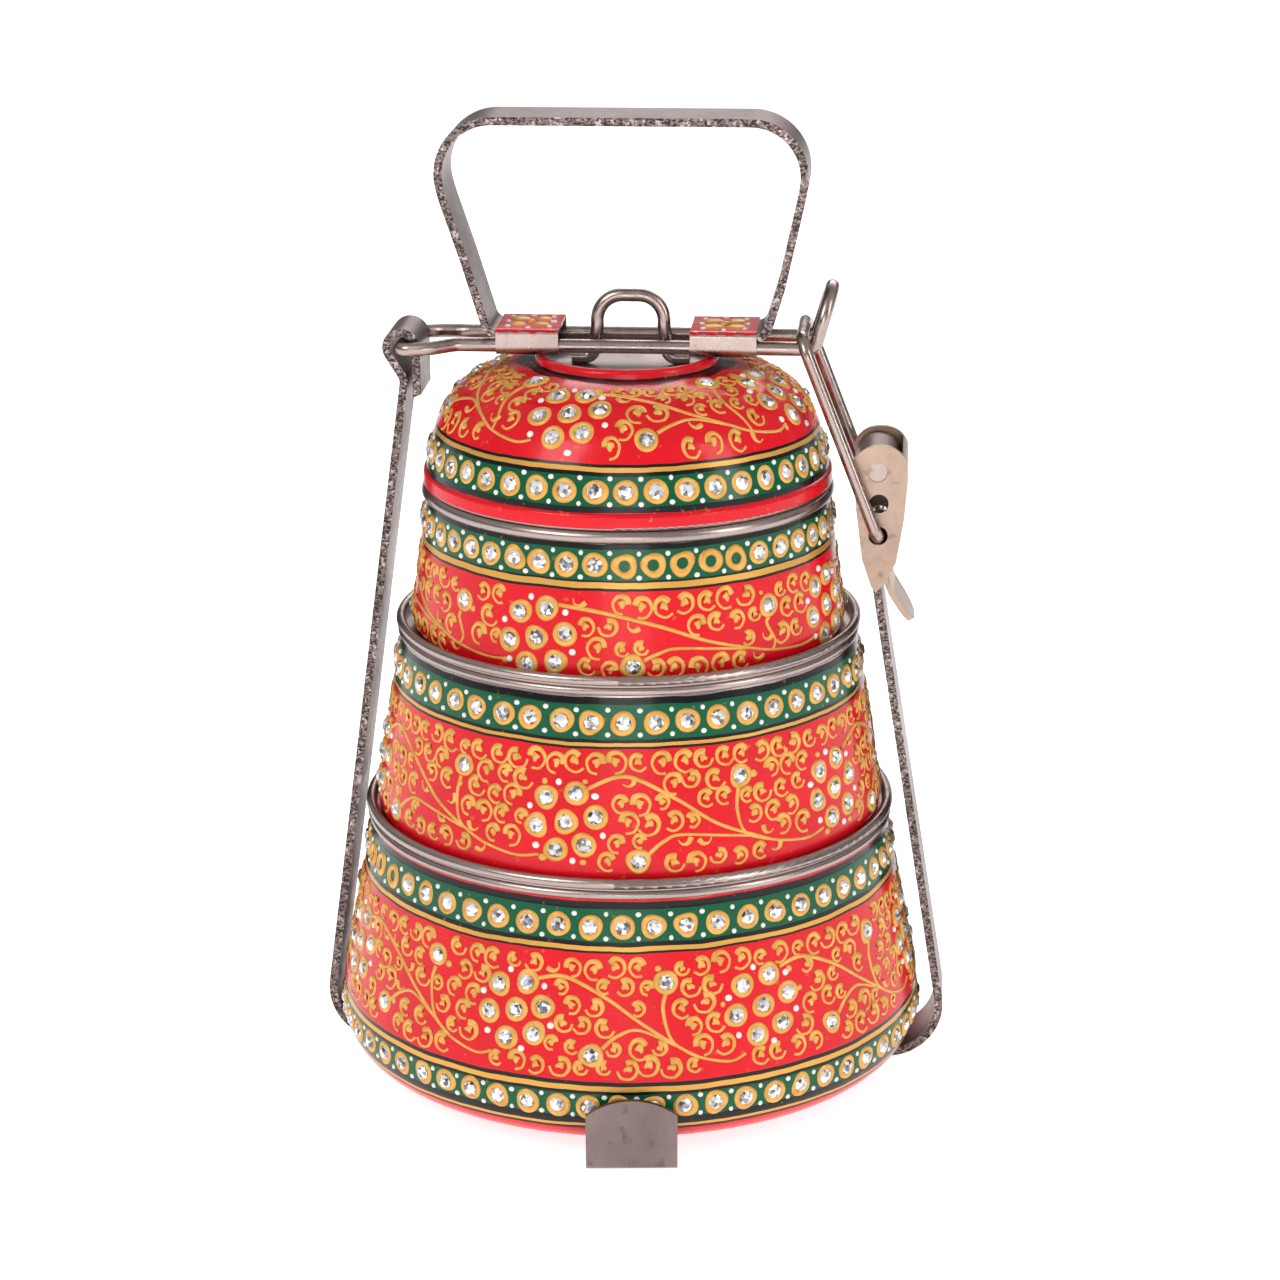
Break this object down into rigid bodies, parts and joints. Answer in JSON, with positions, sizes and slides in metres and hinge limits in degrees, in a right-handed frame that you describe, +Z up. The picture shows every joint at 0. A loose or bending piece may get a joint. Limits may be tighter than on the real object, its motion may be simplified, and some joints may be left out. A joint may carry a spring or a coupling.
{
  "type": "stacked lunch carrier",
  "caption": "Round stacked metal lunch carrier: tapering nested containers under a domed lid, held in a strap cradle with a hinged top bar, carry handle and side latch, set with clear stones.",
  "frame": {"origin": "centre of the underside of the cross foot strap, on the surface the carrier stands on, below the stack's axis", "axes": "+Z up along the stack, +X towards the latch, -Y towards the front"},
  "size_m": [0.1804, 0.1776, 0.2755],
  "materials": {
    "painted_enamel": "gloss",
    "frame_steel": "worn satin",
    "wire_steel": "satin",
    "clip_paint": "gloss",
    "lever_steel": "satin",
    "clear_stone": "faceted"
  },
  "bodies": {
    "cradle": {"cradle_strap": "frame_steel", "cross_foot_strap": "frame_steel", "lever_pin": "wire_steel"},
    "bar": {"top_bar": "wire_steel", "left_clip": "clip_paint", "right_clip": "clip_paint", "carry_handle": "frame_steel"},
    "lever": {"latch_lever": "lever_steel"},
    "link": {"latch_link": "wire_steel"},
    "bottom": {"bottom_container": "painted_enamel", "base_band_stones": "clear_stone", "bottom_band_stones": "clear_stone", "bottom_flower_stones": "clear_stone"},
    "middle": {"middle_container": "painted_enamel", "middle_band_stones": "clear_stone", "middle_flower_stones": "clear_stone"},
    "top": {"top_container": "painted_enamel", "top_band_stones": "clear_stone", "top_flower_stones": "clear_stone"},
    "lid": {"lid_shell": "painted_enamel", "lid_loop_handle": "wire_steel", "lid_band_stones": "clear_stone", "lid_flower_stones": "clear_stone"}
  },
  "joints": [
    {"name": "bar_swing", "type": "hinge", "parent": "cradle", "child": "bar", "pos_m": [-0.0623, 0, 0.2111], "axis": [0, -1, 0], "range_deg": [0, 110]},
    {"name": "lever_swing", "type": "hinge", "parent": "cradle", "child": "lever", "pos_m": [0.0705, 0, 0.1783], "axis": [0, -1, 0], "range_deg": [0, 110]},
    {"name": "link_swing", "type": "hinge", "parent": "lever", "child": "link", "pos_m": [0.07087, 0, 0.1602], "axis": [0, -1, 0], "range_deg": [-143.1, 0], "deforming": ["latch_link"]},
    {"name": "bottom_lift", "type": "slide", "parent": "cradle", "child": "bottom", "axis": [0, 0, 1], "range_m": [0, 0.0037]},
    {"name": "middle_lift", "type": "slide", "parent": "bottom", "child": "middle", "axis": [0, 0, 1], "range_m": [0, 0.01253]},
    {"name": "top_lift", "type": "slide", "parent": "middle", "child": "top", "axis": [0.16, 0, 0.9871], "range_m": [0, 0.01541]},
    {"name": "lid_lift", "type": "slide", "parent": "top", "child": "lid", "axis": [0.12, 0, 0.9928], "range_m": [0, 0.02309]}
  ],
  "couplings": [
    {"joint": "link_swing", "follows": "lever_swing", "ratio": -1.3},
    {"joint": "bottom_lift", "follows": "bar_swing", "m_per_rad": 0.0019},
    {"joint": "middle_lift", "follows": "bar_swing", "m_per_rad": 0.0065},
    {"joint": "top_lift", "follows": "bar_swing", "m_per_rad": 0.008},
    {"joint": "lid_lift", "follows": "bar_swing", "m_per_rad": 0.012}
  ]
}
